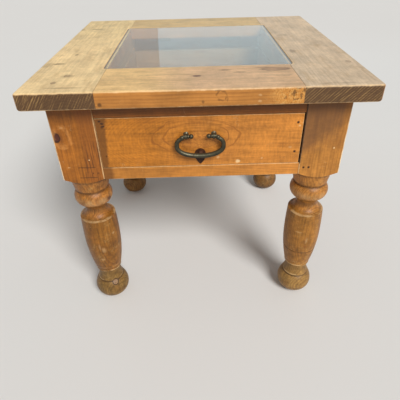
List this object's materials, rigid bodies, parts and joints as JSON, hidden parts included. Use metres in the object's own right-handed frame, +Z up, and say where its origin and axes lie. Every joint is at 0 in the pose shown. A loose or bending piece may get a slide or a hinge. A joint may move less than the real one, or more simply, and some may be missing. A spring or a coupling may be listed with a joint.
{
  "type": "side table",
  "caption": "Square pine side table with a glass panel in a framed top, turned legs, and a drawer with a forged bail handle.",
  "frame": {"origin": "centre of the plan on the floor, under the middle of the square top", "axes": "+Z up, the drawer and the front face -Y, +X towards the right for someone who faces the front"},
  "size_m": [0.68, 0.673, 0.6],
  "materials": {
    "pine_top": "worn waxed pine, sun-bleached",
    "pine_frame": "worn waxed pine, honey brown",
    "pine_raw": "unfinished pine, as planed",
    "glass": "clear float glass, polished",
    "iron": "forged iron, dark and lightly rusted",
    "steel": "dull plain steel"
  },
  "bodies": {
    "case": {"top_left_board": "pine_top", "top_right_board": "pine_top", "top_front_board": "pine_top", "top_back_board": "pine_top", "glass_panel": "glass", "leg_front_left": "pine_frame", "leg_front_right": "pine_frame", "leg_back_left": "pine_frame", "leg_back_right": "pine_frame", "apron_left": "pine_frame", "apron_right": "pine_frame", "apron_back": "pine_frame", "drawer_rail_top": "pine_frame", "drawer_rail_low": "pine_frame", "top_dowels": "pine_raw", "kicker_left": "pine_raw", "kicker_right": "pine_raw", "runner_left": "pine_raw", "runner_right": "pine_raw", "guide_left": "pine_raw", "guide_right": "pine_raw", "drawer_stops": "pine_raw", "glue_blocks": "pine_raw", "rail_brads": "steel", "top_screws": "steel", "runner_screws": "steel"},
    "drawer": {"drawer_front": "pine_frame", "drawer_side_left": "pine_raw", "drawer_side_right": "pine_raw", "drawer_back": "pine_raw", "drawer_bottom": "pine_raw", "drawer_brads": "steel", "eye_washers": "steel", "eye_nuts": "steel", "eye_post_left": "iron", "eye_post_right": "iron", "striking_plate": "iron", "striking_stud": "iron"},
    "bail": {"bail": "iron"}
  },
  "joints": [
    {"name": "drawer_slide", "type": "slide", "parent": "case", "child": "drawer", "axis": [0, -1, 0], "range_m": [0, 0.36]},
    {"name": "bail_swing", "type": "hinge", "parent": "drawer", "child": "bail", "pos_m": [-0.0008, -0.316, 0.4975], "axis": [-1, 0, 0], "range_deg": [0, 187]}
  ]
}
